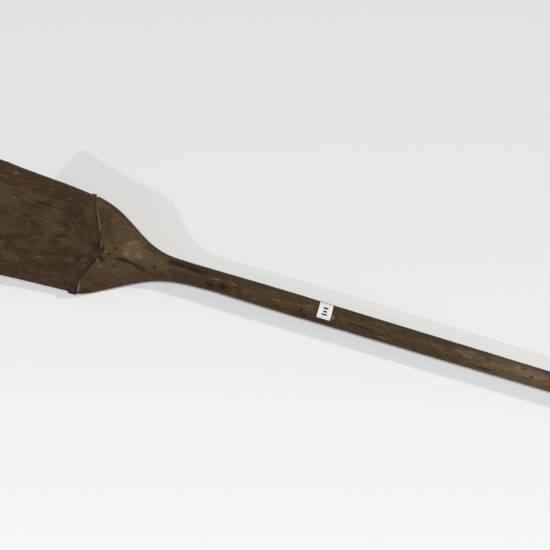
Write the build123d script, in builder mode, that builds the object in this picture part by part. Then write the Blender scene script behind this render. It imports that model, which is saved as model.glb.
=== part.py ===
from build123d import *
import math
import os

os.makedirs("parts", exist_ok=True)

# A rowing oar with a spoon blade. X runs from the blade's tip (-) to the handle (+) and the pieces are
# drawn with the blade's hollow face straight up. The last section rolls them about the loom, into the
# way the oar lies on a floor: on its leather button and the lower edge of its blade. Millimetres.
TIP_X = -1005.0
END_X = 1129.0           # 2134 overall, 7 ft
AXIS_Z = 32.0            # height of the loom's centre line: the leather button rests on the floor
ROLL = 14.5              # degrees, the upper edge of the blade lifted
MIDDLE_X = 62.0          # middle of the length
MIDDLE_Y = -4.13         # middle of the width, once rolled
V_APEX_X = -766.0        # inner end of the blade board, a blunt V let into the palm
V_UPPER_X = -797.0       # where the V's arms reach the blade's two edges
V_LOWER_X = -792.0
NECK_END_X = -530.0      # where the palm's wood is lost in the round loom
CURL_X = -740.0          # where the hollow face starts to curl up
BOARD_T = 10.0           # blade board
TIP_T = 7.0
FACE_Z = 42.0            # face of the board where it meets the palm
TIP_RISE = 31.0          # how far the spoon lifts the tip above FACE_Z
PLATE_T = 1.0            # sheathing plate on the hollow face
PLATE_HALF_W = 61.0
PLATE_APEX_X = -785.0
PLATE_ARM_X = -819.0
PLATE_END_X = -990.0
LEATHER_X0 = 319.0
LEATHER_X1 = 569.0
LEATHER_T = 3.5
SEAT_R = 17.3            # loom under the leather
BUTTON_R = 32.0
BUTTON_W = 22.0
GRIP_R = 16.0
TACK_SHANK_R = 0.8
NAIL_R = 1.6
CLEAR_HALF_W = 130.0     # blanks that are cut to shape reach this far to either side
CLEAR_Z = 160.0          # and this high

# Loom radius along the oar. It swells a little outboard, then tapers to the leather.
LOOM = [(-700, 13.0), (-640, 17.5), (-568, 18.6), (-459, 19.7), (-340, 19.2), (-200, 18.7),
        (-60, 18.0), (80, 17.4), (LEATHER_X0, SEAT_R), (LEATHER_X1 + 60, SEAT_R)]

# Plan of palm and blade. The two shoulders differ: the upper one is full and round, the lower one
# breaks at a corner and then runs out in a long hollow.
UPPER = [(-626, 17.8), (-654, 19.2), (-677, 25.5), (-702, 38.0), (-728, 55.5), (-755, 72.0),
         (-778, 80.0), (-821, 88.0), (-880, 94.0), (-950, 101.5)]
LOWER = [(-556, -18.5), (-584, -19.6), (-620, -22.0), (-652, -27.5), (-682, -38.0), (-712, -53.0),
         (-740, -68.7), (-768, -84.7), (-790, -93.3)]


def along_x(x):
    """A plane across the oar at x, with its own X along +Y of the oar and its own Y up."""
    return Plane(origin=(x, 0, 0), x_dir=(0, 1, 0), z_dir=(1, 0, 0))


def face_z(x):
    """Height of the blade's hollow face on its centre line."""
    run = max(0.0, (CURL_X - x) / (CURL_X - TIP_X))
    return FACE_Z + TIP_RISE * run**2


def face_slope(x):
    """Angle in degrees by which the face climbs towards the tip."""
    return math.degrees(math.atan((face_z(x - 1) - face_z(x + 1)) / 2))


def back_z(x):
    """Height of the board's back: the board thins towards the tip."""
    run = (V_APEX_X - x) / (V_APEX_X - TIP_X)
    return face_z(x) - BOARD_T + (BOARD_T - TIP_T) * max(0.0, run)


STATIONS = [-700.0, -740.0, -775.0, -810.0, -845.0, -880.0, -915.0, -950.0, -985.0, -1020.0]
FACE_LINE = [(x, face_z(x)) for x in STATIONS]
BACK_LINE = [(x, back_z(x)) for x in STATIONS]


# ---- plan shapes -------------------------------------------------------------------------------
# The whole wooden outline, from the loom to the tip. The tip's upper corner is chipped.
with BuildSketch(Plane.XY) as outline:
    with BuildLine():
        upper = Spline(*UPPER)
        tip_top = Line(upper @ 1, (TIP_X + 15, 106.0))
        chip = Polyline(tip_top @ 1, (TIP_X + 11, 99.0), (TIP_X + 4, 93.0), (TIP_X + 3, 64.0))
        tip = ThreePointArc(chip @ 1, (TIP_X, 0.0), (TIP_X + 7, -80.0))
        tip_low = ThreePointArc(tip @ 1, (TIP_X + 12, -92.5), (TIP_X + 26, -97.3))
        Line(tip_low @ 1, LOWER[-1])
        Spline(*LOWER)
        Polyline(LOWER[0], (NECK_END_X, -10.0), (NECK_END_X, 10.0), UPPER[0])
    make_face()

# Everything on the tip's side of the V where the palm's thicker wood stops.
with BuildSketch(Plane.XY) as v_area:
    with BuildLine():
        Polyline((V_APEX_X, -2), (V_APEX_X - 7, 22), (V_UPPER_X, 84), (V_UPPER_X - 3, CLEAR_HALF_W),
                 (TIP_X - 95, CLEAR_HALF_W), (TIP_X - 95, -CLEAR_HALF_W), (V_LOWER_X, -CLEAR_HALF_W),
                 (V_LOWER_X, -63), (V_APEX_X - 1, -15), (V_APEX_X, -2))
    make_face()

# The sheathing plate's plan, with its own V.
with BuildSketch(Plane.XY) as plate_area:
    with BuildLine():
        Polyline((PLATE_APEX_X, 4), (PLATE_ARM_X, PLATE_HALF_W), (PLATE_END_X, PLATE_HALF_W + 8),
                 (PLATE_END_X, -PLATE_HALF_W - 8), (PLATE_ARM_X, -PLATE_HALF_W),
                 (PLATE_APEX_X, -10), (PLATE_APEX_X, 4))
    make_face()

# ---- blade board -------------------------------------------------------------------------------
with BuildPart() as board_slab:
    with BuildSketch(Plane.XZ.offset(-CLEAR_HALF_W)):
        with BuildLine():
            face = Spline(*FACE_LINE)
            back = Spline(*BACK_LINE)
            Line(face @ 0, back @ 0)
            Line(face @ 1, back @ 1)
        make_face()
    extrude(amount=2 * CLEAR_HALF_W)

# The space above the board's back, which the shaft's wood leaves free.
with BuildPart() as above_back:
    with BuildSketch(Plane.XZ.offset(-CLEAR_HALF_W)):
        with BuildLine():
            Spline(*BACK_LINE)
            Polyline(BACK_LINE[0], (STATIONS[0], CLEAR_Z), (STATIONS[-1], CLEAR_Z), BACK_LINE[-1])
        make_face()
    extrude(amount=2 * CLEAR_HALF_W)

with BuildPart() as rebate:
    with BuildSketch(Plane.XY):
        add(v_area.sketch)
    extrude(amount=CLEAR_Z)
    add(above_back.part, mode=Mode.INTERSECT)

with BuildPart() as blade_board:
    with BuildSketch(Plane.XY):
        add(outline.sketch)
        add(v_area.sketch, mode=Mode.INTERSECT)
    extrude(amount=CLEAR_Z)
    add(board_slab.part, mode=Mode.INTERSECT)

# ---- sheathing plate ---------------------------------------------------------------------------
with BuildPart() as face_plate:
    with BuildSketch(Plane.XZ.offset(-CLEAR_HALF_W)):
        with BuildLine():
            low = Spline(*FACE_LINE)
            high = Spline(*[(x, z + PLATE_T) for x, z in FACE_LINE])
            Line(low @ 0, high @ 0)
            Line(low @ 1, high @ 1)
        make_face()
    extrude(amount=2 * CLEAR_HALF_W)
    with BuildSketch(Plane.XY):
        add(plate_area.sketch)
    extrude(amount=CLEAR_Z, mode=Mode.INTERSECT)

# ---- loom, palm and spine: one piece of wood ------------------------------------------------------
# Each row is x, lower edge, upper edge, underside and top of the palm, and how square the section is.
PALM = [(-556, -18.4, 18.2, 13.6, 50.2, 2.0), (-600, -20.6, 18.0, 13.6, 50.2, 2.0),
        (-640, -25.4, 19.4, 13.8, 50.2, 2.05),
        (-670, -34.4, 24.4, 14.4, 50.0, 2.15), (-700, -48.5, 38.4, 15.6, 49.4, 2.3),
        (-735, -68.4, 61.4, 18.4, 49.0, 2.7), (-770, -88.6, 80.0, 22.6, 48.5, 3.8),
        (-812, -100.0, 92.0, 26.6, 48.0, 5.0)]


def ring(low, high, bottom, top, power, count=28):
    """Points round a rounded, lens-like section."""
    mid_y, half_y = (low + high) / 2, (high - low) / 2
    mid_z, half_z = (bottom + top) / 2, (top - bottom) / 2
    points = []
    for i in range(count):
        a = 2 * math.pi * i / count
        c, s = math.cos(a), math.sin(a)
        y = mid_y + half_y * math.copysign(abs(c) ** (2 / power), c)
        z = mid_z + half_z * math.copysign(abs(s) ** (2 / power), s)
        points.append((y, z))
    return points


with BuildPart() as palm:
    for x, low_y, high_y, bottom_z, top_z, power in PALM:
        with BuildSketch(along_x(x)):
            with BuildLine():
                Spline(*ring(low_y, high_y, bottom_z, top_z, power), periodic=True)
            make_face()
    loft()
    with BuildSketch(Plane.XY):
        add(outline.sketch)
    extrude(amount=CLEAR_Z, mode=Mode.INTERSECT)
    with BuildSketch(Plane.XY):
        add(v_area.sketch)
    extrude(amount=CLEAR_Z, mode=Mode.SUBTRACT)

# The spine carries the loom's line down the blade's back and dies out short of the tip. Each row is
# x, half width, underside, and the top that the board's bed is cut from.
SPINE = [(-735, 44.0, 17.4, 42.0), (-790, 36.0, 20.4, 45.0), (-850, 24.0, 24.2, 58.0),
         (-900, 16.0, 32.0, 62.0), (-945, 11.0, 44.0, 68.0), (-980, 7.0, 56.0, 72.0)]

with BuildPart() as spine:
    for x, half_w, bottom_z, top_z in SPINE:
        with BuildSketch(along_x(x)):
            with BuildLine():
                Spline(*ring(-half_w, half_w, bottom_z, top_z, 2.2), periodic=True)
            make_face()
    loft()

with BuildPart() as shaft:
    with BuildSketch(Plane.XZ):
        with BuildLine():
            loom_line = Spline(*[(x, AXIS_Z + r) for x, r in LOOM])
            neck_of_grip = Polyline(loom_line @ 1, (END_X - 128, AXIS_Z + 17.0),
                                    (END_X - 122, AXIS_Z + GRIP_R))
            grip_run = Line(neck_of_grip @ 1, (END_X - 8, AXIS_Z + GRIP_R))
            grip_end = ThreePointArc(grip_run @ 1, (END_X - 2.3, AXIS_Z + GRIP_R - 2),
                                     (END_X, AXIS_Z + GRIP_R - 8))
            Polyline(grip_end @ 1, (END_X, AXIS_Z), (LOOM[0][0], AXIS_Z), loom_line @ 0)
        make_face()
    revolve(axis=Axis((0, 0, AXIS_Z), (1, 0, 0)))
    add(palm.part)
    add(spine.part)
    add(rebate.part, mode=Mode.SUBTRACT)

# ---- fastenings ------------------------------------------------------------------------------------
# Tacks round the plate's edge: two long rows, the V and the tip.
TACK_PITCH = 34.0
TACK_INSET = 4.5
PLATE_FLARE = 0.048      # how fast the plate widens towards the tip
ROW_X = [PLATE_ARM_X - 19.5 - TACK_PITCH * i for i in range(5)]
TACKS = [(x, PLATE_HALF_W - TACK_INSET + PLATE_FLARE * (PLATE_ARM_X - x)) for x in ROW_X]
TACKS += [(x, -y) for x, y in TACKS]
TACKS += [(-800, 18), (-815, 40), (-800, -24), (-815, -44)]
TACKS += [(PLATE_END_X + 6, y) for y in (-42, -14, 14, 42)]
# Long nails down the middle, through plate, board and spine, closed over a rove on the back.
CLENCH_X = [-812.0, -852.0, -904.0, -955.0]
# Nails that hold the board's V down on the spine.
HEAD_GAP = 0.08          # heads stand this clear of the curved face
SEAM_NAILS = [(-777, 8), (-775, -20), (-789, 27), (-789, -33)]


def on_face(x, y, lift=0.0):
    """A place on the blade's face, its Z square to the face there."""
    return Location((x, y, face_z(x) + lift), (0, face_slope(x), 0))


def rove_seat(x):
    """Where a clench nail comes out of the spine, and how far that is below the face."""
    for k in range(len(SPINE) - 1):
        (x0, _, b0, _), (x1, _, b1, _) = SPINE[k], SPINE[k + 1]
        if x1 <= x <= x0:
            return b0 + (b1 - b0) * (x0 - x) / (x0 - x1)
    return back_z(x)


with BuildPart() as plate_tacks:
    for x, y in TACKS:
        with Locations(on_face(x, y, PLATE_T + HEAD_GAP)):
            Cone(2.4, 1.1, 0.9, align=(Align.CENTER, Align.CENTER, Align.MIN))
        with Locations(on_face(x, y, PLATE_T - 7)):
            Cylinder(TACK_SHANK_R, 7.3, align=(Align.CENTER, Align.CENTER, Align.MIN))

with BuildPart() as tack_holes:
    for x, y in TACKS:
        with Locations(on_face(x, y, PLATE_T - 7)):
            Cylinder(TACK_SHANK_R, 14, align=(Align.CENTER, Align.CENTER, Align.MIN))

with BuildPart() as seam_nails:
    for x, y in SEAM_NAILS:
        with Locations(on_face(x, y, HEAD_GAP)):
            Cone(3.2, 1.8, 0.8, align=(Align.CENTER, Align.CENTER, Align.MIN))
        with Locations(on_face(x, y, -17)):
            Cylinder(NAIL_R, 17.3, align=(Align.CENTER, Align.CENTER, Align.MIN))

with BuildPart() as seam_holes:
    for x, y in SEAM_NAILS:
        with Locations(on_face(x, y, -17)):
            Cylinder(NAIL_R, 30, align=(Align.CENTER, Align.CENTER, Align.MIN))

# Clench nails stand upright, so that each ends square on its rove.
ROVE_DROP = 3.0
with BuildPart() as clench_nails:
    for x in CLENCH_X:
        with Locations((x, 0, face_z(x) + PLATE_T - 1.2)):
            Cylinder(3.6, 2.2, align=(Align.CENTER, Align.CENTER, Align.MIN))
        with Locations((x, 0, rove_seat(x) - ROVE_DROP + 1.2)):
            Cylinder(NAIL_R, face_z(x) + PLATE_T - rove_seat(x) + ROVE_DROP - 1.8,
                     align=(Align.CENTER, Align.CENTER, Align.MIN))

with BuildPart() as nail_holes:
    for x in CLENCH_X:
        with Locations((x, 0, face_z(x) + PLATE_T - 1.2)):
            Cylinder(3.6, 20, align=(Align.CENTER, Align.CENTER, Align.MIN))
        with Locations((x, 0, rove_seat(x) - 12)):
            Cylinder(NAIL_R, 80, align=(Align.CENTER, Align.CENTER, Align.MIN))

with BuildPart() as rove_seats:
    for x in CLENCH_X:
        with Locations((x, 0, rove_seat(x) + 1.4)):
            Cylinder(5.2, 20, align=(Align.CENTER, Align.CENTER, Align.MAX))

with BuildPart() as roves:
    for x in CLENCH_X:
        with Locations((x, 0, rove_seat(x) + 1.4)):
            Cylinder(5.0, 1.6, align=(Align.CENTER, Align.CENTER, Align.MAX))
            Cylinder(NAIL_R, 1.6, align=(Align.CENTER, Align.CENTER, Align.MAX), mode=Mode.SUBTRACT)

# ---- edge clips: iron folded over the seam between palm and board -----------------------------------
# Each is x of the middle, width along the edge, inner reach, outer face, top and underside.
LOWER_CLIP = (-800.2, 12.8, -79.0, -95.8, 45.8, 25.5)
UPPER_CLIP = (-802.5, 7.0, 78.0, 86.4, 44.6, 28.5)


def clip_block(spec):
    """The clip before the wood's own shape is taken out of it."""
    x, width, inner, outer, top, bottom = spec
    with BuildPart() as block:
        with BuildSketch(Plane.XY.offset(bottom)):
            with Locations((x, (inner + outer) / 2)):
                Rectangle(width, abs(outer - inner))
        extrude(amount=top - bottom)
        chamfer(block.edges().filter_by(Axis.X), 1.0)
    return block.part


def clip_nail(spec):
    """A small nail down through the clip into the wood: head first, then the shank."""
    x, _, inner, outer, top, _ = spec
    with BuildPart() as nail:
        with Locations((x, inner + (outer - inner) * 0.4, top)):
            Cone(2.2, 1.4, 0.7, align=(Align.CENTER, Align.CENTER, Align.MIN))
            Cylinder(1.0, 14, align=(Align.CENTER, Align.CENTER, Align.MAX))
    return nail.part


lower_nail = clip_nail(LOWER_CLIP)
upper_nail = clip_nail(UPPER_CLIP)
lower_block = clip_block(LOWER_CLIP)
upper_block = clip_block(UPPER_CLIP)

with BuildPart() as clip_nails:
    add(lower_nail)
    add(upper_nail)

# ---- stock label: a slip of card wrapped part way round the loom --------------------------------------
LABEL_X = -364.0
LABEL_W = 24.0
LABEL_R = 19.7
LABEL_ARC = 95.0         # degrees round the loom
LABEL_PAST_TOP = 11.5    # how much of that lies on the lower side of the top

with BuildPart() as label_block:
    with BuildSketch(Plane.XZ):
        with Locations((LABEL_X, AXIS_Z + LABEL_R - 2)):
            Rectangle(LABEL_W, 4)
    revolve(axis=Axis((0, 0, AXIS_Z), (-1, 0, 0)), revolution_arc=LABEL_ARC)

# ---- leather: the sleeve that lies in the rowlock, and the button that stops the oar ------------------
SLEEVE_R = SEAT_R + LEATHER_T
SEAM_W = 1.2

with BuildPart() as sleeve_blank:
    with BuildSketch(along_x(LEATHER_X0)):
        with Locations((0, AXIS_Z)):
            Circle(SLEEVE_R)
    extrude(amount=LEATHER_X1 - LEATHER_X0)
    with Locations(((LEATHER_X0 + LEATHER_X1) / 2, 0, AXIS_Z - SLEEVE_R)):
        Box(LEATHER_X1 - LEATHER_X0, SEAM_W, 12, mode=Mode.SUBTRACT)

with BuildPart() as button_blank:
    with BuildSketch(along_x(LEATHER_X1)):
        with Locations((0, AXIS_Z)):
            Circle(BUTTON_R)
    extrude(amount=BUTTON_W)
    fillet(button_blank.edges(), 5)

# Sleeve tacks stand in two rows along the seam and are driven flush; the button's are on its end face.
SLEEVE_TACK_X = [LEATHER_X0 + 8 + 33.4 * i for i in range(8)]
SLEEVE_TACK_TURN = 11.0


def seam_place(x, turn, radius):
    """A place beside the sleeve's seam, under the loom, its Z pointing outwards."""
    return Location((x, 0, AXIS_Z), (180 + turn, 0, 0)) * Location((0, 0, radius))


with BuildPart() as sleeve_tacks:
    for x in SLEEVE_TACK_X:
        for turn in (-SLEEVE_TACK_TURN, SLEEVE_TACK_TURN):
            with Locations(seam_place(x, turn, SLEEVE_R - 0.3)):
                Cylinder(2.2, 1.0, align=(Align.CENTER, Align.CENTER, Align.MAX))
                Cylinder(TACK_SHANK_R, 10, align=(Align.CENTER, Align.CENTER, Align.MAX))

with BuildPart() as sleeve_holes:
    for x in SLEEVE_TACK_X:
        for turn in (-SLEEVE_TACK_TURN, SLEEVE_TACK_TURN):
            with Locations(seam_place(x, turn, SLEEVE_R - 1.3)):
                Cylinder(2.2, 6, align=(Align.CENTER, Align.CENTER, Align.MIN))
            with Locations(seam_place(x, turn, SLEEVE_R - 10.3)):
                Cylinder(TACK_SHANK_R, 11, align=(Align.CENTER, Align.CENTER, Align.MIN))

with BuildPart() as button_tacks:
    with Locations(along_x(LEATHER_X1 + BUTTON_W).shift_origin((LEATHER_X1 + BUTTON_W, 0, AXIS_Z))):
        with PolarLocations(24.0, 6):
            Cone(3.0, 1.4, 1.0, align=(Align.CENTER, Align.CENTER, Align.MIN))
            Cylinder(1.2, 16, align=(Align.CENTER, Align.CENTER, Align.MAX))

# ---- assembly: cut each piece to its neighbours -------------------------------------------------------
with BuildPart() as button_cut:
    add(button_blank.part)
    add(shaft.part, mode=Mode.SUBTRACT)
    add(button_tacks.part, mode=Mode.SUBTRACT)

with BuildPart() as shaft_cut:
    add(shaft.part)
    add(tack_holes.part, mode=Mode.SUBTRACT)
    add(seam_holes.part, mode=Mode.SUBTRACT)
    add(nail_holes.part, mode=Mode.SUBTRACT)
    add(rove_seats.part, mode=Mode.SUBTRACT)
    add(clip_nails.part, mode=Mode.SUBTRACT)
    add(sleeve_holes.part, mode=Mode.SUBTRACT)

with BuildPart() as board_cut:
    add(blade_board.part)
    add(tack_holes.part, mode=Mode.SUBTRACT)
    add(seam_holes.part, mode=Mode.SUBTRACT)
    add(nail_holes.part, mode=Mode.SUBTRACT)
    add(clip_nails.part, mode=Mode.SUBTRACT)

with BuildPart() as plate_cut:
    add(face_plate.part)
    add(tack_holes.part, mode=Mode.SUBTRACT)
    add(nail_holes.part, mode=Mode.SUBTRACT)

with BuildPart() as label_cut:
    add(label_block.part.rotate(Axis((0, 0, AXIS_Z), (1, 0, 0)), LABEL_PAST_TOP))
    add(shaft.part, mode=Mode.SUBTRACT)

with BuildPart() as sleeve_cut:
    add(sleeve_blank.part)
    add(shaft.part, mode=Mode.SUBTRACT)
    add(sleeve_holes.part, mode=Mode.SUBTRACT)


def fitted_clip(block, nail):
    """The clip with the wood and its nail's hole taken out."""
    with BuildPart() as fitted:
        add(block)
        add(shaft.part, mode=Mode.SUBTRACT)
        add(blade_board.part, mode=Mode.SUBTRACT)
        add(nail, mode=Mode.SUBTRACT)
    return fitted.part


NODES = {
    "shaft": shaft_cut.part,
    "blade_board": board_cut.part,
    "face_plate": plate_cut.part,
    "plate_tacks": plate_tacks.part,
    "seam_nails": seam_nails.part,
    "clench_nails": clench_nails.part,
    "roves": roves.part,
    "lower_edge_clip": fitted_clip(lower_block, lower_nail),
    "upper_edge_clip": fitted_clip(upper_block, upper_nail),
    "clip_nails": clip_nails.part,
    "stock_label": label_cut.part,
    "leather_sleeve": sleeve_cut.part,
    "sleeve_tacks": sleeve_tacks.part,
    "leather_button": button_cut.part,
    "button_tacks": button_tacks.part,
}

# ---- lay the oar down: roll it about the loom and centre it ------------------------------------------
LIE = (Location((-MIDDLE_X, -MIDDLE_Y, AXIS_Z)) * Location((0, 0, 0), (ROLL, 0, 0))
       * Location((0, 0, -AXIS_Z)))

for node, solid in NODES.items():
    laid = solid.moved(LIE)
    laid.label = node
    export_step(laid, f"parts/{node}.step")
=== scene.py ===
import math

import bpy
from mathutils import Matrix, Vector


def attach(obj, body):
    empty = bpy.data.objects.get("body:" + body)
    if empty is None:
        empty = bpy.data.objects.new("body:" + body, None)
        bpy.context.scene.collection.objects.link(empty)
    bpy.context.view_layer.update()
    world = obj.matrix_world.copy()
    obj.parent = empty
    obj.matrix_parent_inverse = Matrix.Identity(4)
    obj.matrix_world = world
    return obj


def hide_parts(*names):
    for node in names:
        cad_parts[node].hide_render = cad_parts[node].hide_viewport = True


# An old rowing oar lying on a pale floor. Metres, in the CAD frame: +X runs from the blade's tip to
# the handle. Places on the oar are given in millimetres with the blade's face straight up, and LIE
# moves them to where the oar lies, rolled about its loom.
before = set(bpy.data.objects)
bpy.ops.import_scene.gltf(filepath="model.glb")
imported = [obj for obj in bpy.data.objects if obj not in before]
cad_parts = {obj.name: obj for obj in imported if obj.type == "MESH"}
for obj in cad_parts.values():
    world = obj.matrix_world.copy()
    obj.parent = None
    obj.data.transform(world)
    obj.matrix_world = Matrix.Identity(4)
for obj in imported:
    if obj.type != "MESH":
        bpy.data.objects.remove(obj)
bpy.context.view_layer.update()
bpy.ops.object.select_all(action="DESELECT")

# The lean brings the button and the blade's lower edge down together. MIDDLE is the shift from the
# drawn oar's zero to the scene's, and AXIS_Z the height of the loom's axis above the floor.
ROLL = math.radians(14.5)
AXIS_Z = 0.032
MIDDLE = Vector((-0.062, 0.00413, 0.0))
LIE = (Matrix.Translation(MIDDLE + Vector((0, 0, AXIS_Z))) @ Matrix.Rotation(ROLL, 4, "X")
       @ Matrix.Translation((0, 0, -AXIS_Z)))
LEAN = LIE.to_3x3()
FACE_UP = LEAN @ Vector((0, 0, 1))
# The camera is turned by VIEW_SLOPE, so that the loom falls to the right.
VIEW_SLOPE = math.radians(16.78)
VIEW_RIGHT = Vector((math.cos(VIEW_SLOPE), math.sin(VIEW_SLOPE), 0))
VIEW_UP = Vector((-math.sin(VIEW_SLOPE), math.cos(VIEW_SLOPE), 0))


def laid(x, y, z):
    """A place on the oar drawn face up, in millimetres, as it lies in the scene."""
    return LIE @ Vector((x / 1000, y / 1000, z / 1000))


# ---- material kit --------------------------------------------------------------------------------


class Finish:
    """A material being built: short calls that add and join its nodes."""

    def __init__(self, name):
        self.material = bpy.data.materials.new(name)
        self.material.use_nodes = True
        self.nodes = self.material.node_tree.nodes
        self.links = self.material.node_tree.links
        self.shader = self.nodes["Principled BSDF"]
        self.place = self.nodes.new("ShaderNodeTexCoord").outputs["Object"]

    def join(self, source, socket):
        """Plug a socket or set a plain value."""
        if isinstance(source, bpy.types.NodeSocket):
            self.links.new(source, socket)
        else:
            socket.default_value = source

    def stretched(self, scale, shift=(0, 0, 0)):
        """The object's own coordinates, scaled in waves per metre along each axis."""
        node = self.nodes.new("ShaderNodeMapping")
        node.inputs["Scale"].default_value = scale
        node.inputs["Location"].default_value = shift
        self.join(self.place, node.inputs["Vector"])
        return node.outputs["Vector"]

    def noise(self, scale, detail=4.0, rough=0.55, distort=0.0, shift=(0, 0, 0)):
        """Noise of a given number of waves per metre on each axis."""
        node = self.nodes.new("ShaderNodeTexNoise")
        node.inputs["Scale"].default_value = 1.0
        node.inputs["Detail"].default_value = detail
        node.inputs["Roughness"].default_value = rough
        node.inputs["Distortion"].default_value = distort
        self.join(self.stretched(scale, shift), node.inputs["Vector"])
        return node.outputs["Fac"]

    def cells(self, scale):
        """Distance from the nearest of many scattered points, as on pebbled leather."""
        node = self.nodes.new("ShaderNodeTexVoronoi")
        node.inputs["Scale"].default_value = 1.0
        self.join(self.stretched(scale), node.inputs["Vector"])
        return node.outputs["Distance"]

    def ramp(self, value, low, high):
        """0 below low, 1 above high; low may be the larger, which turns it round."""
        node = self.nodes.new("ShaderNodeMapRange")
        node.interpolation_type = "SMOOTHSTEP"
        self.join(value, node.inputs["Value"])
        if low > high:
            node.inputs["From Min"].default_value = high
            node.inputs["From Max"].default_value = low
            node.inputs["To Min"].default_value = 1.0
            node.inputs["To Max"].default_value = 0.0
        else:
            node.inputs["From Min"].default_value = low
            node.inputs["From Max"].default_value = high
        return node.outputs["Result"]

    def maths(self, operation, *values):
        """One sum: each value is a number or a socket."""
        node = self.nodes.new("ShaderNodeMath")
        node.operation = operation
        for value, socket in zip(values, node.inputs):
            self.join(value, socket)
        return node.outputs["Value"]

    def times(self, a, b):
        return self.maths("MULTIPLY", a, b)

    def between(self, value, base, span):
        """base where value is 0, and base plus span where it is 1."""
        return self.maths("MULTIPLY_ADD", value, span, base)

    def mix(self, amount, a, b):
        """Colour a turned towards colour b by amount."""
        node = self.nodes.new("ShaderNodeMix")
        node.data_type = "RGBA"
        self.join(amount, node.inputs[0])
        self.join(a, node.inputs[6])
        self.join(b, node.inputs[7])
        return node.outputs[2]

    def patch(self, centre, size, soft=0.5, ragged=0.35, grain=(60, 90, 90)):
        """A ragged spot: 1 in the middle, 0 outside. Its centre and half sizes are in mm, face up,
        and a fourth number of size turns it, in degrees."""
        turn = size[3] if len(size) > 3 else 0
        where = self.nodes.new("ShaderNodeMapping")
        where.vector_type = "TEXTURE"
        where.inputs["Location"].default_value = laid(*centre)
        where.inputs["Rotation"].default_value = (ROLL, 0, math.radians(turn))
        where.inputs["Scale"].default_value = (size[0] / 1000, size[1] / 1000, size[2] / 1000)
        self.join(self.place, where.inputs["Vector"])
        length = self.nodes.new("ShaderNodeVectorMath")
        length.operation = "LENGTH"
        self.join(where.outputs["Vector"], length.inputs[0])
        frayed = self.maths("MULTIPLY_ADD", self.noise(grain, 3.0), ragged * 2, length.outputs["Value"])
        return self.ramp(frayed, 1.0 + ragged, 1.0 + ragged - soft)

    def along(self, direction, source):
        """How far a vector reaches along a direction."""
        node = self.nodes.new("ShaderNodeVectorMath")
        node.operation = "DOT_PRODUCT"
        node.inputs[1].default_value = direction
        self.join(source, node.inputs[0])
        return node.outputs["Value"]

    def steep(self):
        """1 where the surface stands square to the blade's face, 0 where it lies along it: the mask for
        the painted shade on side faces.
        """
        normal = self.nodes.new("ShaderNodeNewGeometry").outputs["Normal"]
        return self.ramp(self.maths("ABSOLUTE", self.along(FACE_UP, normal)), 0.6, 0.25)

    def bump(self, height, distance, strength=1.0, below=None):
        """A bump of distance metres for a height of 1, laid over another bump if given."""
        node = self.nodes.new("ShaderNodeBump")
        node.inputs["Strength"].default_value = strength
        node.inputs["Distance"].default_value = distance
        self.join(height, node.inputs["Height"])
        if below is not None:
            self.join(below, node.inputs["Normal"])
        return node.outputs["Normal"]

    def done(self, colour, roughness, normal=None, metallic=0.0, specular=0.5):
        """Plug the finished colour, roughness and relief into the shader."""
        self.join(colour, self.shader.inputs["Base Color"])
        self.join(roughness, self.shader.inputs["Roughness"])
        self.join(metallic, self.shader.inputs["Metallic"])
        self.shader.inputs["Specular IOR Level"].default_value = specular
        if normal is not None:
            self.join(normal, self.shader.inputs["Normal"])
        return self.material


def tone(red, green, blue):
    """A colour named by its 0-255 display values."""
    linear = [((c / 255 + 0.055) / 1.055) ** 2.4 if c > 10 else c / 255 / 12.92
              for c in (red, green, blue)]
    return (*linear, 1.0)


# ---- finishes ------------------------------------------------------------------------------------


def old_wood(name, middle, dark, light, red):
    """Dark varnished wood: streaks along the oar, blotches, dirt in the grain, and worn lights.
    Returns the finish, its colour, and the streaks and fine grain that its relief follows."""
    f = Finish(name)
    streaks = f.noise((7, 120, 120), 5.0, 0.6, 0.8)
    fine = f.noise((34, 620, 620), 5.0, 0.65, 0.3)
    mottle = f.noise((55, 120, 120), 5.0, 0.65, 0.6, shift=(2, 2, 5))
    blotch = f.noise((12, 26, 26), 4.0, 0.6, 0.8)
    tint = f.noise((6, 16, 16), 3.0, 0.5, 0.4, shift=(7, 3, 1))
    colour = f.mix(f.times(f.ramp(streaks, 0.6, 0.36), 0.5), middle, dark)
    colour = f.mix(f.times(f.ramp(tint, 0.48, 0.66), 0.6), colour, red)
    colour = f.mix(f.times(f.ramp(fine, 0.5, 0.72), 0.22), colour, light)
    colour = f.mix(f.times(f.ramp(mottle, 0.5, 0.66), 0.45), colour, light)
    colour = f.mix(f.times(f.ramp(mottle, 0.46, 0.34), 0.5), colour, dark)
    colour = f.mix(f.times(f.ramp(blotch, 0.52, 0.68), 0.5), colour, dark)
    scuffs = f.ramp(f.noise((40, 190, 190), 4.0, 0.7, 1.2, shift=(2, 5, 8)), 0.63, 0.69)
    colour = f.mix(f.times(scuffs, 0.6), colour, light)
    chips = f.ramp(f.noise((170, 380, 380), 2.0, 0.5, 0.6, shift=(9, 4, 2)), 0.68, 0.73)
    colour = f.mix(f.times(chips, 0.55), colour, tone(128, 108, 82))
    pits = f.ramp(f.noise((110, 240, 240), 3.0, 0.6, 0.5, shift=(6, 1, 2)), 0.35, 0.29)
    colour = f.mix(f.times(pits, 0.75), colour, tone(38, 27, 18))
    return f, colour, streaks, fine


def spots(f, colour, tint, amount, places, soft=0.5, grain=(70, 210, 210)):
    """Ragged spots of one tint: each is its centre and half sizes in mm, and perhaps its turn."""
    for centre, size in places:
        colour = f.mix(f.times(f.patch(centre, size, soft, 0.8, grain), amount), colour, tint)
    return colour


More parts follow.
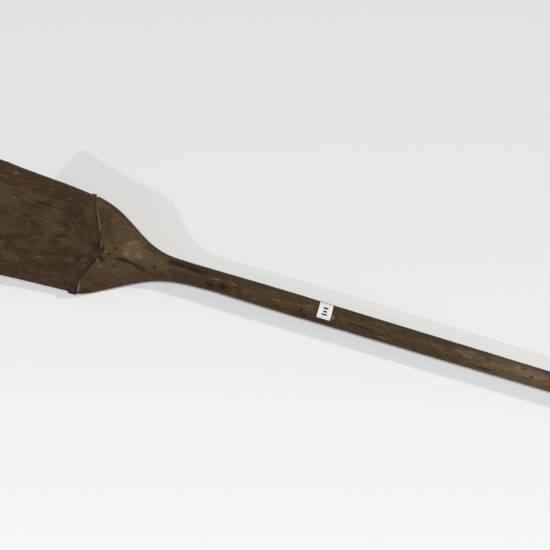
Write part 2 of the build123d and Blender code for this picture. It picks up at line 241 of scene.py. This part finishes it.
def finish_wood(f, colour, streaks, fine, side_shade):
    """Painted shade on the faces square to the blade's face, roughness and relief, shared by the wooden
    pieces.
    """
    # Painted shade: faces standing square to the blade's face are darkened as if they were in shade.
    colour = f.mix(f.times(f.steep(), side_shade), colour, tone(36, 27, 20))
    pores = f.ramp(f.noise((40, 1500, 1500), 2.0, 0.5), 0.42, 0.3)
    wear = f.noise((18, 60, 60), 4.0, 0.6, shift=(3, 3, 3))
    relief = f.bump(streaks, 0.0005, 0.8)
    relief = f.bump(fine, 0.00022, 0.9, relief)
    relief = f.bump(pores, -0.00025, 0.8, relief)
    return f.done(colour, f.between(wear, 0.35, 0.35), relief, specular=0.1)


def shaft_finish():
    """The loom and palm: dark brown, rubbed paler where it is handled, with one long crack."""
    f, colour, streaks, fine = old_wood("dark_loom_wood", tone(76, 58, 38), tone(56, 42, 27),
                                        tone(102, 83, 58), tone(80, 56, 34))
    # Broad changes of tone along the wood: worn palm, dark neck, paler loom, smoky patches.
    colour = spots(f, colour, tone(98, 79, 57), 0.45, [
        ((-725, 0, 45), (62, 80, 40)), ((-668, 4, 45), (34, 24, 40))], 0.8)
    colour = spots(f, colour, tone(58, 44, 29), 0.65, [((-590, 0, 35), (60, 40, 40))], 0.9)
    colour = spots(f, colour, tone(112, 94, 72), 0.7, [((0, 0, 35), (180, 50, 50))], 0.9)
    colour = spots(f, colour, tone(66, 56, 38), 0.6, [
        ((-488, 8, 48), (18, 14, 20, -10)), ((-228, 12, 46), (30, 12, 20, -4)),
        ((-150, 14, 46), (26, 8, 20, -4))], 0.6)
    # Rubbed places, soft and then sharper.
    colour = spots(f, colour, tone(120, 103, 79), 0.36, [
        ((-710, 14, 48), (23, 21, 16, 12)), ((-110, 9, 49), (20, 9, 16, 6)),
        ((2, 7, 49), (42, 9, 16, 4))], 0.5)
    colour = spots(f, colour, tone(130, 112, 88), 0.45, [
        ((-716, 26, 48), (10, 4, 12, 20)), ((-700, 8, 48), (9, 5, 12, -12)),
        ((-722, 4, 48), (6, 8, 12, 0)), ((-104, 6, 50), (9, 4, 12, 8)),
        ((-16, 11, 49), (12, 4, 12, 8)), ((22, 4, 50), (14, 4, 12, -6))], 0.6)
    # The palm's long crack, knots, nail stains and checks in the grain.
    colour = spots(f, colour, tone(38, 27, 18), 0.85, [
        ((-706, -9, 50), (26, 2.8, 12, -4)), ((-726, -8, 50), (15, 4.2, 12, 5)),
        ((-690, -14, 50), (14, 2.8, 12, -8)), ((-668, -4, 50), (5, 2.6, 12)),
        ((-742, 8, 48), (4, 3, 12)), ((-737, -22, 48), (6, 2.6, 12)),
        ((-764, 2, 47), (6, 9, 12, 20)), ((-762, -16, 47), (8, 7, 12, -30)),
        ((-750, -4, 47), (5, 3, 12, 0)), ((-632, 12, 46), (22, 6, 20, -3)),
        ((-598, 12, 46), (26, 5, 20, -3)), ((-546, 1, 50), (11, 6, 20, -8)),
        ((-566, -4, 50), (12, 3, 20, -6)), ((-405, 1, 50), (4, 5, 12, 10)),
        ((-396, -7, 50), (3, 2.5, 12)), ((-520, 4, 50), (16, 2, 20, -4)),
        ((-300, 2, 50), (30, 2.0, 20, -2)), ((-70, -7, 50), (24, 2.2, 20, 2)),
        ((10, 4, 50), (4, 3, 12)), ((-8, 12, 48), (5, 2, 12)), ((-118, 4, 50), (3, 2, 12))])
    # Light scratches.
    colour = spots(f, colour, tone(132, 110, 76), 0.6, [
        ((-390, 11, 50), (9, 1.6, 12, 4)), ((-348, 3, 51), (5, 4, 12, 80)),
        ((-560, 8, 50), (12, 1.4, 16, 8)), ((-260, -6, 50), (16, 1.6, 14, -4)),
        ((-450, 4, 50), (12, 1.2, 14, 4)), ((-530, 9, 49), (8, 1.4, 14, -20))])
    # Painted highlight along the V's two arms, where the palm's end faces catch the low left light.
    colour = spots(f, colour, tone(134, 117, 92), 0.85, [
        ((-784, 54, 46), (32, 2.0, 12, -69)), ((-789.5, -78, 45), (14, 2.4, 12, -90)),
        ((-768, 8, 47), (9, 1.6, 12, -75)), ((-757, -2, 48), (3, 1.6, 12, 30)),
        ((-768, -20, 47), (4, 1.5, 12, 40)), ((-760, -30, 47), (3, 1.2, 12, 0))], 0.4)
    return finish_wood(f, colour, streaks, fine, side_shade=0.45)


def board_finish():
    """The blade's board: redder and darker, black round the V, with chips along its edges."""
    f, colour, streaks, fine = old_wood("red_brown_blade_wood", tone(68, 51, 35), tone(54, 40, 27),
                                        tone(88, 70, 49), tone(72, 49, 32))
    colour = spots(f, colour, tone(40, 29, 21), 0.7, [
        ((-776, 2, 44), (9, 14, 12, 10)), ((-780, -26, 44), (10, 9, 12, -30)),
        ((-812, -80, 44), (8, 5, 12, 0))], 0.6)
    colour = spots(f, colour, tone(84, 64, 45), 0.4, [((-800, 52, 44), (14, 26, 12, 20))], 0.8)
    colour = spots(f, colour, tone(112, 94, 72), 0.55, [
        ((-932, 88, 58), (7, 2.6, 12, 10)), ((-806, -84, 44), (4, 5, 12, 0)),
        ((-950, 78, 60), (10, 1.6, 12, 4)), ((-870, 78, 50), (6, 1.4, 12, -6)),
        ((-794, -30, 44), (4, 1.6, 12, -10)), ((-788, -38, 44), (3, 1.4, 12, 20)),
        ((-837, 70, 48), (3, 1.6, 12, 0)), ((-835, -68, 46), (3, 1.4, 12, 0)),
        ((-795, 57, 44), (2, 1.2, 12, 40))], 0.6)
    return finish_wood(f, colour, streaks, fine, side_shade=0.75)


def plate_finish():
    """Thin sheet gone dull and brown, a little green, with painted shade in its dents and round its edge
    and painted highlights on its creases.
    """
    f = Finish("dull_brown_sheet")
    cloud = f.noise((20, 34, 34), 6.0, 0.62, 0.9)
    specks = f.noise((110, 150, 150), 5.0, 0.65, 0.4)
    green = f.noise((10, 18, 18), 4.0, 0.55, 0.6, shift=(4, 1, 9))
    colour = f.mix(f.ramp(cloud, 0.36, 0.64), tone(55, 42, 26), tone(80, 63, 41))
    colour = f.mix(f.times(f.ramp(green, 0.5, 0.66), 0.4), colour, tone(72, 62, 41))
    colour = f.mix(f.times(f.ramp(specks, 0.52, 0.66), 0.5), colour, tone(54, 39, 26))
    scratch = f.ramp(f.noise((40, 420, 420), 3.0, 0.6, 2.4), 0.66, 0.72)
    colour = f.mix(f.times(scratch, 0.4), colour, tone(112, 96, 72))
    # Painted shade: dark streaks in the dents and along the sheet's edge.
    colour = spots(f, colour, tone(44, 32, 22), 0.7, [
        ((-872, 48, 50), (28, 2.2, 12, -3)), ((-838, 2, 46), (12, 4.5, 12, 15)),
        ((-815, 36, 44), (3, 16, 12, 35)), ((-930, 58, 55), (26, 2.0, 12, 3)),
        ((-905, 20, 53), (5, 5, 12, 0)), ((-800, -28, 44), (9, 8, 12, 0)),
        ((-856, -60, 47), (20, 2.0, 12, 4))])
    # Painted highlights along the raised creases and dent rims.
    colour = spots(f, colour, tone(106, 92, 66), 0.5, [
        ((-897, 8, 52), (1.6, 10, 12, 5)), ((-842, 14, 46), (12, 1.5, 12, 20)),
        ((-812, -36, 44), (9, 1.6, 12, 20)), ((-824, 22, 45), (1.4, 10, 12, 30)),
        ((-868, -46, 48), (12, 1.4, 12, 12)), ((-832, -51, 46), (6, 1.3, 12, -10)),
        ((-852, 8, 47), (8, 1.2, 12, 12)), ((-884, -12, 51), (5, 1.2, 12, 30)),
        ((-930, 46, 56), (14, 1.5, 12, -8))], 0.6)
    relief = f.bump(cloud, 0.0016, 0.8)
    relief = f.bump(specks, 0.0005, 0.9, relief)
    return f.done(colour, f.between(specks, 0.45, 0.3), relief, specular=0.12)


def metal_finish(name, base, bright, dirt, metallic, rough):
    """Small fastenings: tarnish, mottled dirt and a few bright rubs."""
    f = Finish(name)
    mottle = f.noise((300, 300, 300), 4.0, 0.6)
    rub = f.noise((900, 900, 900), 3.0, 0.6, shift=(1, 2, 3))
    colour = f.mix(f.ramp(mottle, 0.35, 0.65), dirt, base)
    colour = f.mix(f.times(f.ramp(rub, 0.56, 0.68), 0.6), colour, bright)
    roughness = f.between(mottle, rough - 0.15, 0.3)
    return f.done(colour, roughness, f.bump(mottle, 0.0004), metallic=metallic)


def label_finish():
    """White card with a plain mark of short bars in place of writing."""
    f = Finish("white_card_label")
    grime = f.noise((220, 220, 220), 4.0, 0.6)
    colour = f.mix(f.times(f.ramp(grime, 0.55, 0.8), 0.5), tone(236, 235, 234), tone(205, 200, 192))
    for y, half_length in ((4.0, 6.5), (9.0, 4.5), (14.0, 6.0)):
        bar = f.patch((-364, y, 50), (half_length, 1.8, 12), soft=0.25, ragged=0.05)
        colour = f.mix(bar, colour, tone(40, 38, 40))
    return f.done(colour, 0.7, f.bump(grime, 0.0001), specular=0.3)


def leather_finish():
    """Greased leather: pebbled grain, creases round the loom and darker handled patches."""
    f = Finish("greased_leather")
    grain = f.cells((900, 900, 900))
    crease = f.noise((160, 40, 40), 4.0, 0.6, 1.0)
    worn = f.noise((18, 30, 30), 4.0, 0.6, shift=(5, 2, 4))
    colour = f.mix(f.ramp(worn, 0.35, 0.68), tone(58, 36, 24), tone(98, 66, 44))
    colour = f.mix(f.times(f.ramp(crease, 0.58, 0.7), 0.5), colour, tone(42, 27, 19))
    relief = f.bump(crease, 0.0008, 0.8)
    relief = f.bump(grain, 0.0003, 0.7, relief)
    return f.done(colour, f.between(worn, 0.66, -0.3), relief, specular=0.4)


def paint(node, material):
    """Give a CAD node one material all over."""
    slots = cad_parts[node].data.materials
    slots.clear()
    slots.append(material)


SHAFT = shaft_finish()
BOARD = board_finish()
SHEET = plate_finish()
TACK = metal_finish("tarnished_tack", tone(84, 68, 50), tone(140, 122, 98), tone(52, 40, 29), 0.45, 0.55)
NAIL = metal_finish("brown_nail", tone(72, 54, 40), tone(118, 98, 76), tone(42, 31, 23), 0.45, 0.55)
IRON = metal_finish("rusty_iron", tone(50, 38, 30), tone(74, 56, 44), tone(34, 26, 21), 0.35, 0.75)
BROWNED = metal_finish("browned_iron", tone(72, 55, 40), tone(88, 69, 51), tone(52, 39, 28), 0.1, 0.8)
CARD = label_finish()
HIDE = leather_finish()

# ---- worn pieces ---------------------------------------------------------------------------------


def only(piece):
    """Make one piece the selected and active one."""
    bpy.ops.object.select_all(action="DESELECT")
    piece.select_set(True)
    bpy.context.view_layer.objects.active = piece


def settle(piece, kind, **settings):
    """Add a modifier and apply it."""
    only(piece)
    modifier = piece.modifiers.new(kind.lower(), kind)
    for key, value in settings.items():
        setattr(modifier, key, value)
    bpy.ops.object.modifier_apply(modifier=modifier.name)


def weather(piece, wave, depth, along=1.0, seed_shift=0.0):
    """Swell and sink the surface by a cloud pattern: wave and depth are in metres, along stretches
    it down the oar, and seed_shift moves it to another part of the cloud."""
    cloud = bpy.data.textures.new("weathering", "CLOUDS")
    cloud.noise_scale = 1.0
    cloud.noise_depth = 3
    guide = bpy.data.objects.new("guide", None)
    guide.scale = (wave * along, wave, wave)
    guide.location = (seed_shift, seed_shift, 0)
    bpy.context.collection.objects.link(guide)
    bpy.context.view_layer.update()
    settle(piece, "DISPLACE", texture=cloud, texture_coords="OBJECT", texture_coords_object=guide,
           strength=depth, mid_level=0.5)
    bpy.data.objects.remove(guide)


DENT_REACH = 2.5        # a dent fades out by this many of its half sizes
DENT_FADE = 1.4         # how fast it fades
DENT_BITE = 0.012       # only the skin this near its centre, up or down, is pressed


def dent(piece, centre, size, depth, turn):
    """Press a soft hollow of half sizes size, in mm, into the upper side; a negative depth lifts it."""
    middle = laid(*centre)
    turned = LEAN @ Matrix.Rotation(math.radians(turn), 3, "Z")
    along, across, out = turned.col[0], turned.col[1], turned.col[2]
    for vertex in piece.data.vertices:
        away = vertex.co - middle
        u = away.dot(along) * 1000 / size[0]
        v = away.dot(across) * 1000 / size[1]
        if abs(u) > DENT_REACH or abs(v) > DENT_REACH or abs(away.dot(out)) > DENT_BITE:
            continue
        vertex.co -= out * (depth / 1000 * math.exp(-(u * u + v * v) * DENT_FADE))


SAME_POINT = 0.00002    # corners nearer than this are one


def worn_copy(node, name, voxel, rounds, material):
    """A copy of a CAD piece with an even skin of voxel-sized faces and its edges eased by rounds of
    smoothing, ready for wear."""
    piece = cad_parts[node].copy()
    piece.data = piece.data.copy()
    piece.name = name
    piece.parent = None
    bpy.context.collection.objects.link(piece)
    only(piece)
    bpy.ops.object.mode_set(mode="EDIT")
    bpy.ops.mesh.select_all(action="SELECT")
    bpy.ops.mesh.remove_doubles(threshold=SAME_POINT)
    bpy.ops.object.mode_set(mode="OBJECT")
    settle(piece, "REMESH", mode="VOXEL", voxel_size=voxel)
    settle(piece, "SMOOTH", factor=0.5, iterations=rounds)
    bpy.ops.object.shade_smooth()
    piece.data.materials.clear()
    piece.data.materials.append(material)
    return piece


def mount_piece(piece, node):
    """Hang a finished piece on the oar in place of its CAD node."""
    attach(piece, "root")
    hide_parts(node)


def loom_and_palm():
    """Loom, palm and spine, worn wavy along the grain, with its crack and knots pressed in."""
    wood = worn_copy("shaft", "loom_and_palm", voxel=0.00195, rounds=2, material=SHAFT)
    weather(wood, 0.012, 0.0007, along=9.0)
    weather(wood, 0.05, 0.0009, along=3.0, seed_shift=0.7)
    for centre, size, depth, turn in (
            ((-702, -9, 50), (26, 1.8), 1.1, -4), ((-724, -7, 49), (9, 2.6), 0.9, 8),
            ((-714, 12, 49), (20, 16), 0.5, 10), ((-769, -12, 47), (5, 6), 1.4, 0),
            ((-764, 4, 47), (4, 5), 1.0, 0), ((-632, 6, 50), (18, 5), 0.7, -5),
            ((-760, -28, 46), (12, 4), 0.6, 30), ((-742, 8, 48), (3, 3), 0.8, 0)):
        dent(wood, centre, size, depth, turn)
    mount_piece(wood, "shaft")


def spoon_board():
    """The blade's board, with dents along both edges."""
    wood = worn_copy("blade_board", "spoon_board", voxel=0.0014, rounds=3, material=BOARD)
    weather(wood, 0.014, 0.0006, along=6.0)
    weather(wood, 0.045, 0.0010, along=2.0, seed_shift=0.4)
    for centre, size, depth, turn in (
            ((-905, 82, 55), (30, 2.0), 0.8, 2), ((-960, 90, 62), (18, 4), 0.7, -3),
            ((-850, -84, 46), (22, 2.4), 0.7, -2), ((-930, -86, 54), (10, 5), 0.8, 0)):
        dent(wood, centre, size, depth, turn)
    mount_piece(wood, "blade_board")


# The thin plate. Its corners go clockwise seen from above.
SHEET_CORNERS = [(-990, 69), (-819, 61), (-785, 4), (-785, -10), (-819, -61), (-990, -69)]
SHEET_START = (-889, 0, 150)    # its middle before it is dropped on the blade
SHEET_BLANK = (0.214, 0.154)    # the sheet before it is cut to its corners
SHEET_SQUARES = (24, 17)        # squares of about 9 mm, which bridge the nail holes under the sheet
SHEET_ABOVE = 0.0018            # height of its upper skin over the board
SHEET_THICKNESS = 0.0010
# Each dent: its centre, half sizes, depth and turn.
SHEET_DENTS = [((-872, 47, 50), (26, 2.2), 1.3, -3), ((-872, 42, 50), (24, 3.0), -0.6, -3),
               ((-838, 2, 46), (13, 5), 1.2, 15), ((-905, 18, 53), (8, 9), 1.1, 0),
               ((-898, 8, 52), (1.6, 11), -0.8, 5), ((-858, -20, 47), (28, 4), 0.9, 20),
               ((-812, 36, 44), (6, 14), 0.8, 10), ((-925, -30, 56), (20, 7), 1.0, -12),
               ((-880, -44, 50), (22, 3), 0.9, 8), ((-940, 40, 58), (14, 6), 0.9, 25),
               ((-820, -28, 44), (9, 6), 0.9, 0), ((-960, 5, 62), (16, 12), 0.9, 0)]


def dented_sheet():
    """The thin plate: a gridded sheet laid on the board's curve, cut to its V, knocked about."""
    bpy.ops.object.select_all(action="DESELECT")
    bpy.ops.mesh.primitive_grid_add(
        x_subdivisions=SHEET_SQUARES[0], y_subdivisions=SHEET_SQUARES[1], size=1.0,
        location=laid(*SHEET_START), rotation=(ROLL, 0, 0))
    sheet = bpy.context.object
    sheet.name = "dented_sheet"
    sheet.scale = (*SHEET_BLANK, 1.0)
    bpy.ops.object.transform_apply(location=False, rotation=False, scale=True)
    settle(sheet, "SHRINKWRAP", target=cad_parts["blade_board"],
           auxiliary_target=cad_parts["shaft"], wrap_method="PROJECT", use_project_z=True,
           use_negative_direction=True, use_positive_direction=False, offset=SHEET_ABOVE)
    settle(sheet, "SUBSURF", levels=3, render_levels=3)
    only(sheet)
    bpy.ops.object.transform_apply(location=True, rotation=True, scale=True)
    bpy.ops.object.mode_set(mode="EDIT")
    for (x0, y0), (x1, y1) in zip(SHEET_CORNERS, SHEET_CORNERS[1:] + SHEET_CORNERS[:1]):
        outwards = LEAN @ Vector((y0 - y1, x1 - x0, 0)).normalized()
        bpy.ops.mesh.select_all(action="SELECT")
        bpy.ops.mesh.bisect(plane_co=laid(x0, y0, 42), plane_no=outwards, clear_outer=True)
    bpy.ops.object.mode_set(mode="OBJECT")
    weather(sheet, 0.030, 0.0014, along=1.3)
    weather(sheet, 0.011, 0.0007, along=1.2, seed_shift=0.3)
    for centre, size, depth, turn in SHEET_DENTS:
        dent(sheet, centre, size, depth, turn)
    settle(sheet, "SOLIDIFY", thickness=SHEET_THICKNESS, offset=-1.0)
    only(sheet)
    bpy.ops.object.shade_smooth_by_angle(angle=math.radians(40))
    sheet.data.materials.append(SHEET)
    mount_piece(sheet, "face_plate")


def leather_pieces():
    """The sleeve and the button, creased by hand and rowlock."""
    sleeve = worn_copy("leather_sleeve", "greased_sleeve", voxel=0.00135, rounds=1, material=HIDE)
    weather(sleeve, 0.020, 0.0006, along=1.6)
    mount_piece(sleeve, "leather_sleeve")
    button = worn_copy("leather_button", "wound_button", voxel=0.0011, rounds=1, material=HIDE)
    weather(button, 0.010, 0.0008)
    mount_piece(button, "leather_button")


def iron_clips():
    """The two folded clips at the joint, pitted by rust."""
    for node, material in (("lower_edge_clip", IRON), ("upper_edge_clip", BROWNED)):
        clip = worn_copy(node, "rusted_" + node, voxel=0.00035, rounds=4, material=material)
        weather(clip, 0.0022, 0.0004)
        mount_piece(clip, node)


# CAD nodes that stay as they are, with a finish of their own.
CARRIED = {"plate_tacks": TACK, "seam_nails": NAIL, "clench_nails": NAIL, "roves": NAIL,
           "clip_nails": BROWNED, "stock_label": CARD, "sleeve_tacks": TACK, "button_tacks": TACK}
for node, material in CARRIED.items():
    paint(node, material)

loom_and_palm()
spoon_board()
dented_sheet()
leather_pieces()
iron_clips()

# ---- floor, lights and camera --------------------------------------------------------------------


# The fall from FLOOR_NEAR to FLOOR_FAR is painted shade on an evenly pale floor.
FLOOR_NEAR = 0.95       # brightness of the floor on the blade's lower side
FLOOR_FAR = 0.77        # and on its upper side
FLOOR_FADE = (-0.45, 0.75)  # where the one turns to the other, in metres from the scene's middle


def pale_floor():
    """A broad pale floor with painted shade: a little darker towards the blade's upper edge and beyond.
    """
    bpy.ops.mesh.primitive_plane_add(size=1, location=(0, 0, 0))
    floor = bpy.context.object
    floor.name = "floor"
    floor.scale = (30, 30, 1)
    bpy.ops.object.transform_apply(location=True, rotation=True, scale=True)
    f = Finish("white_floor")
    shade = f.ramp(f.along(VIEW_UP, f.place), *FLOOR_FADE)
    near = (FLOOR_NEAR, FLOOR_NEAR, FLOOR_NEAR, 1)
    far = (FLOOR_FAR, FLOOR_FAR, FLOOR_FAR, 1)
    f.done(f.mix(shade, near, far), 0.8, specular=0.1)
    floor.data.materials.append(f.material)


def sun(name, towards, strength, colour, spread):
    """A distant light: towards is the direction from the oar to it, and spread its size in degrees."""
    data = bpy.data.lights.new(name, "SUN")
    data.energy = strength
    data.color = colour
    data.angle = math.radians(spread)
    lamp = bpy.data.objects.new(name, data)
    lamp.rotation_euler = Vector(towards).to_track_quat("Z", "Y").to_euler()
    bpy.context.collection.objects.link(lamp)


def soft_surround(strength):
    """Even white light from all round."""
    world = bpy.data.worlds.new("surround")
    world.use_nodes = True
    world.node_tree.nodes["Background"].inputs["Color"].default_value = (1, 1, 1, 1)
    world.node_tree.nodes["Background"].inputs["Strength"].default_value = strength
    bpy.context.scene.world = world


CAMERA_ABOVE = 1.337    # height of the camera over the loom's axis
CAMERA_AIM = Vector((-0.465, 0.0399, AXIS_Z)) + MIDDLE     # beside the loom, just past its neck


def camera():
    """Straight down on the oar, with the loom falling to the right."""
    data = bpy.data.cameras.new("camera")
    data.lens = 50
    data.sensor_width = 36
    eye = bpy.data.objects.new("camera", data)
    eye.matrix_world = Matrix((
        (VIEW_RIGHT.x, VIEW_UP.x, 0, CAMERA_AIM.x),
        (VIEW_RIGHT.y, VIEW_UP.y, 0, CAMERA_AIM.y),
        (0, 0, 1, CAMERA_AIM.z + CAMERA_ABOVE),
        (0, 0, 0, 1)))
    bpy.context.collection.objects.link(eye)
    bpy.context.scene.camera = eye


pale_floor()
soft_surround(0.14)
sun("overhead_light", towards=(0.07, 0.1, 1.0), strength=1.75, colour=(1.0, 1.0, 1.0), spread=8)
sun("low_left_light", towards=(-1.44, -0.66, 1.0), strength=0.66, colour=(0.82, 0.91, 1.0), spread=2)
sun("low_right_light", towards=(1.15, 0.77, 1.0), strength=1.03, colour=(1.0, 0.99, 0.88), spread=3)
camera()
bpy.context.scene.view_settings.view_transform = "Standard"
